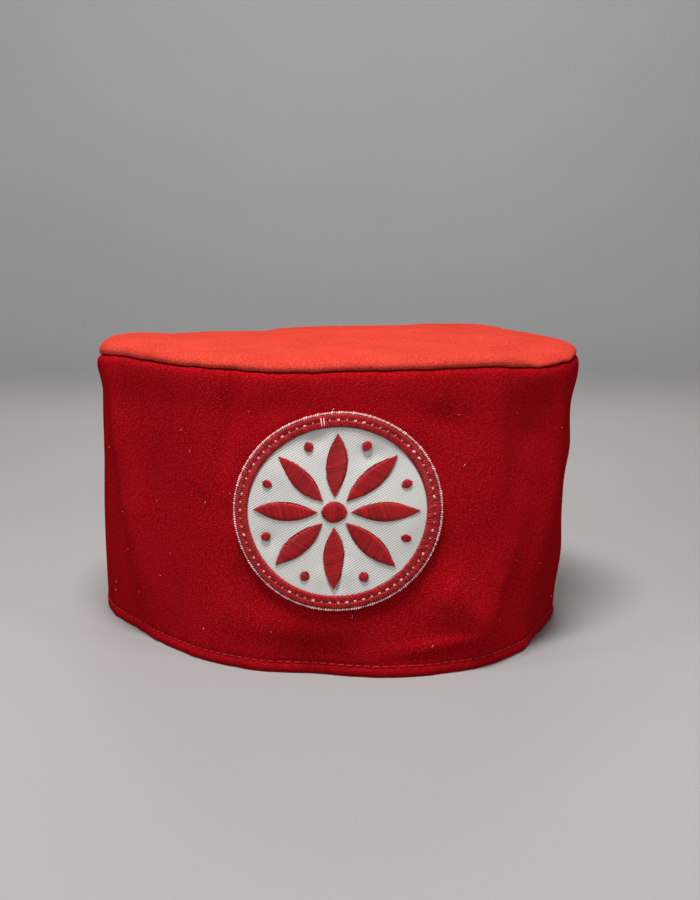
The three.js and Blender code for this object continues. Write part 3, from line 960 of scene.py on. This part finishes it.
def summed(tree, *sources):
    """The sum of several (source, weight) values."""
    total = None
    for source, weight in sources:
        part = node(tree, "ShaderNodeMath", operation="MULTIPLY_ADD")
        tree.links.new(source[0].outputs[source[1]], part.inputs[0])
        part.inputs[1].default_value = weight
        part.inputs[2].default_value = 0
        if total is not None:
            tree.links.new(total.outputs[0], part.inputs[2])
        total = part
    return total, "Value"


def blended(tree, source, low, high):
    """A colour between two, by a value. The low one is a colour or another node's colour socket."""
    mix = node(tree, "ShaderNodeMix", data_type="RGBA")
    colours = [s for s in mix.inputs if s.enabled and s.type == "RGBA"]
    if isinstance(low, bpy.types.NodeSocket):
        tree.links.new(low, colours[0])
    else:
        colours[0].default_value = (*low, 1)
    colours[1].default_value = (*high, 1)
    link(tree, source, (mix, "Factor"))
    return [s for s in mix.outputs if s.enabled][0]


def coloured(tree, shader, colour):
    tree.links.new(colour, shader.inputs["Base Color"])


def bumped(tree, shader, source, distance, strength):
    bump = put(node(tree, "ShaderNodeBump"), Distance=distance, Strength=strength)
    link(tree, source, (bump, "Height"))
    link(tree, (bump, "Normal"), (shader, "Normal"))


def new_material(name, sheen, sheen_roughness, sheen_tint, specular):
    made = bpy.data.materials.new(name)
    made.use_nodes = True
    shader = made.node_tree.nodes["Principled BSDF"]
    put(shader, Sheen_Weight=sheen, Sheen_Roughness=sheen_roughness, Specular_IOR_Level=specular)
    put(shader, Sheen_Tint=(*sheen_tint, 1))
    return made, made.node_tree, shader


def red_cloth(name, sheen, dark, light, fluff_and_glint):
    """Satin-backed twill: fine diagonal ridges under a soft nap, uneven in colour, with paler flecks that
    are partly pale fibres of the nap and partly painted glints.
    """
    made, tree, shader = new_material(
        name, sheen, sheen_roughness=0.4, sheen_tint=(1.0, 0.24, 0.09), specular=0
    )
    uv = (node(tree, "ShaderNodeTexCoord"), "UV")
    twill = wave(tree, uv, angle=TWILL_LEAN, pitch=0.00065, distortion=1.2)
    fleck = noise(tree, uv, size=0.0006, detail=3, angle=TWILL_LEAN, stretch=2.6)
    hairs_and_glints = noise(tree, uv, size=0.00045, detail=2, angle=-20, stretch=1.8)
    nap = noise(tree, uv, size=0.0025, detail=4)
    cloud = noise(tree, uv, size=0.02, detail=2)
    tone = summed(tree, (twill, 0.17), (fleck, 0.7), (nap, 0.25), (cloud, 0.45))
    dyed = blended(tree, ranged(tree, tone, 0, 1, start=0.45, end=1.1), dark, light)
    # Paler flecks: partly pale nap fibres, partly painted glints of the nap.
    fluff_and_glint_mixed = blended(tree, ranged(tree, hairs_and_glints, 0, 1, start=0.5, end=0.8), dyed, fluff_and_glint)
    coloured(tree, shader, fluff_and_glint_mixed)
    put(shader, Roughness=0.6)
    rough = summed(tree, (twill, 0.6), (fleck, 0.8), (hairs_and_glints, 0.6), (nap, 0.25))
    bumped(tree, shader, rough, distance=0.0003, strength=0.5)
    return made


def white_twill():
    """The patch's ground: grey-white twill with clear diagonal ridges."""
    made, tree, shader = new_material(
        "white_twill", sheen=0.15, sheen_roughness=0.5, sheen_tint=(1, 1, 1), specular=0.25
    )
    uv = (node(tree, "ShaderNodeTexCoord"), "UV")
    twill = wave(tree, uv, angle=-55, pitch=0.00075, distortion=0.6)
    picks = wave(tree, uv, angle=35, pitch=0.0006, distortion=0.8)
    cloud = noise(tree, uv, size=0.012, detail=3)
    tone = summed(tree, (twill, 0.5), (picks, 0.25), (cloud, 0.3))
    coloured(tree, shader, blended(tree, tone, (0.36, 0.37, 0.355), (0.69, 0.69, 0.67)))
    link(tree, ranged(tree, cloud, 0.75, 0.9), (shader, "Roughness"))
    rough = summed(tree, (twill, 0.7), (picks, 0.4), (cloud, 0.5))
    bumped(tree, shader, rough, distance=0.0002, strength=0.6)
    return made


def thread(name, dark, light, roughness):
    """Embroidery thread whose stitches differ a little in tone."""
    made, tree, shader = new_material(
        name, sheen=0.05, sheen_roughness=0.35, sheen_tint=light, specular=0.25
    )
    tone = node(tree, "ShaderNodeAttribute", attribute_type="GEOMETRY", attribute_name="tone")
    where = (node(tree, "ShaderNodeTexCoord"), "Object")
    fibre = noise(tree, where, size=0.0003, detail=2)
    mixed = summed(tree, ((tone, "Fac"), 0.7), (fibre, 0.4))
    coloured(tree, shader, blended(tree, mixed, dark, light))
    put(shader, Roughness=roughness)
    bumped(tree, shader, fibre, distance=0.00006, strength=0.5)
    return made


def floor_paint():
    made, tree, shader = new_material(
        "floor_paint", sheen=0, sheen_roughness=0.5, sheen_tint=(1, 1, 1), specular=0.3
    )
    where = (node(tree, "ShaderNodeTexCoord"), "Object")
    cloud = noise(tree, where, size=0.3, detail=3)
    coloured(tree, shader, blended(tree, cloud, (0.25, 0.25, 0.255), (0.27, 0.27, 0.275)))
    put(shader, Roughness=0.7)
    return made


# The band and the crown are one cloth in two copies: the crown's copy is painted lighter and more orange,
# as lit by the strong top light, and the band's copy is painted darker, as shade on its upright sides.
BAND_RED_PAINTED_SHADE = red_cloth(
    "band_red", sheen=0, dark=(0.16, 0.0003, 0.0014), light=(0.34, 0.002, 0.006), fluff_and_glint=(0.41, 0.024, 0.032)
)
CROWN_RED_PAINTED_LIGHT = red_cloth(
    "crown_red", sheen=0.04, dark=(0.28, 0.012, 0.009), light=(0.56, 0.05, 0.031), fluff_and_glint=(0.62, 0.11, 0.075)
)
WHITE_TWILL = white_twill()
RED_THREAD = thread(
    "red_thread", dark=(0.15, 0.002, 0.004), light=(0.42, 0.006, 0.010), roughness=0.42
)
PALE_THREAD = thread(
    "pale_thread", dark=(0.5, 0.2, 0.2), light=(0.88, 0.62, 0.62), roughness=0.6
)
HOLDING_THREAD = thread(
    "holding_thread", dark=(0.36, 0.03, 0.04), light=(0.76, 0.36, 0.36), roughness=0.5
)
# Padding under the stitches: the same red thread made darker, painted shade in the gaps between stitches.
PADDING_WITH_PAINTED_SHADE = thread(
    "thread_padding", dark=(0.22, 0.004, 0.007), light=(0.28, 0.006, 0.009), roughness=0.7
)


# Pieces


def settle(piece, slot, *nodes):
    """A piece rides on the cap and stands for its CAD nodes, which are hidden. slot is not used."""
    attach(piece, "root")
    if nodes:
        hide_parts(*nodes)
    return piece


band = settle(side_band(), "red_cloth", "side_band")
crown = settle(crown_top(), "red_cloth", "crown_top")
hem = settle(hem_stitches(), "red_thread")
settle(lint(), "white_twill")
ground = settle(patch_ground(), "white_twill", "patch_ground")
border = patch_border()
holding_stitches(border)
thread_end(border)
settle(border, "red_thread", "patch_border")
edge = settle(raw_edge(), "white_twill")
settle(heart(), "red_thread", "rosette_heart")
for number in range(PETALS):
    settle(petal(number), "red_thread", f"rosette_petal_{number + 1}")
    settle(knot(number), "red_thread", f"rosette_knot_{number + 1}")
bpy.data.objects.remove(STITCH)


# Floor, lights and camera

FLOOR_REACH = 5.0
COVE_FROM = 0.9
COVE_RADIUS = 1.2
ROOM_COLOUR = (0.80, 0.81, 0.83, 1)
ROOM_STRENGTH = 0.03
CAMERA_LENS = 56
CAMERA_PLACE = (0.0047, -0.5616, 0.1504)
CAMERA_TILT = 81.25

# Softboxes, each turned to face its target. wide, high: metres. power: watts.
Light = namedtuple("Light", "name place target wide high power colour")
LIGHTS = [
    Light("top_light", (-0.06, -0.34, 0.9), (0, 0, 0.1), 0.3, 0.2, 13, (1, 0.96, 0.92)),
    Light("back_light", (0, 0.7, 0.5), (0, 0, 0.1), 0.7, 0.2, 3, (1, 0.9, 0.8)),
    Light("left_light", (-0.44, -0.3, 0.24), (-0.01, 0, 0.06), 0.12, 0.4, 1.2, (1, 0.98, 0.97)),
    Light("right_light", (0.38, -0.36, 0.24), (0.01, 0, 0.06), 0.12, 0.4, 0.9, (1, 0.98, 0.97)),
    Light("wall_light", (0, 0.9, 1.5), (0, 2.1, 0.8), 2, 0.5, 30, (1, 1, 1)),
]


def softbox(light):
    lamp = bpy.data.lights.new(light.name, "AREA")
    lamp.shape = "RECTANGLE"
    lamp.size = light.wide
    lamp.size_y = light.high
    lamp.energy = light.power
    lamp.color = light.colour
    box = bpy.data.objects.new(light.name, lamp)
    box.location = light.place
    way = np.array(light.target) - np.array(light.place)
    box.rotation_euler = (math.acos(-way[2] / np.linalg.norm(way)), 0, math.atan2(-way[0], way[1]))
    bpy.context.scene.collection.objects.link(box)


def pale_floor():
    """A plain floor that curves up into a backdrop well behind the cap."""
    turn = np.linspace(0, math.pi / 2, 25)
    wall = COVE_FROM + COVE_RADIUS
    back = np.concatenate([[-FLOOR_REACH], COVE_FROM + COVE_RADIUS * np.sin(turn), [wall]])
    up = np.concatenate([[0], COVE_RADIUS * (1 - np.cos(turn)), [FLOOR_REACH]])
    corners = [(side * FLOOR_REACH, y, z) for y, z in zip(back, up) for side in (-1, 1)]
    faces = [(2 * i, 2 * i + 1, 2 * i + 3, 2 * i + 2) for i in range(len(back) - 1)]
    mesh = bpy.data.meshes.new("floor")
    mesh.from_pydata(corners, [], faces)
    mesh.polygons.foreach_set("use_smooth", [True] * len(faces))
    mesh.materials.append(floor_paint())
    shown("floor", mesh)


def room_light():
    world = bpy.data.worlds.new("room")
    world.use_nodes = True
    back = world.node_tree.nodes["Background"]
    back.inputs["Color"].default_value = ROOM_COLOUR
    back.inputs["Strength"].default_value = ROOM_STRENGTH
    bpy.context.scene.world = world
    bpy.context.scene.view_settings.view_transform = "Standard"


def photo_camera():
    lens = bpy.data.cameras.new("camera")
    lens.lens = CAMERA_LENS
    lens.sensor_width = 36
    lens.clip_start = 0.01
    camera = bpy.data.objects.new("camera", lens)
    camera.location = MIDDLE + np.array(CAMERA_PLACE)
    camera.rotation_euler = (math.radians(CAMERA_TILT), 0, 0)
    bpy.context.scene.collection.objects.link(camera)
    bpy.context.scene.camera = camera


pale_floor()
room_light()
for light in LIGHTS:
    softbox(light)
photo_camera()
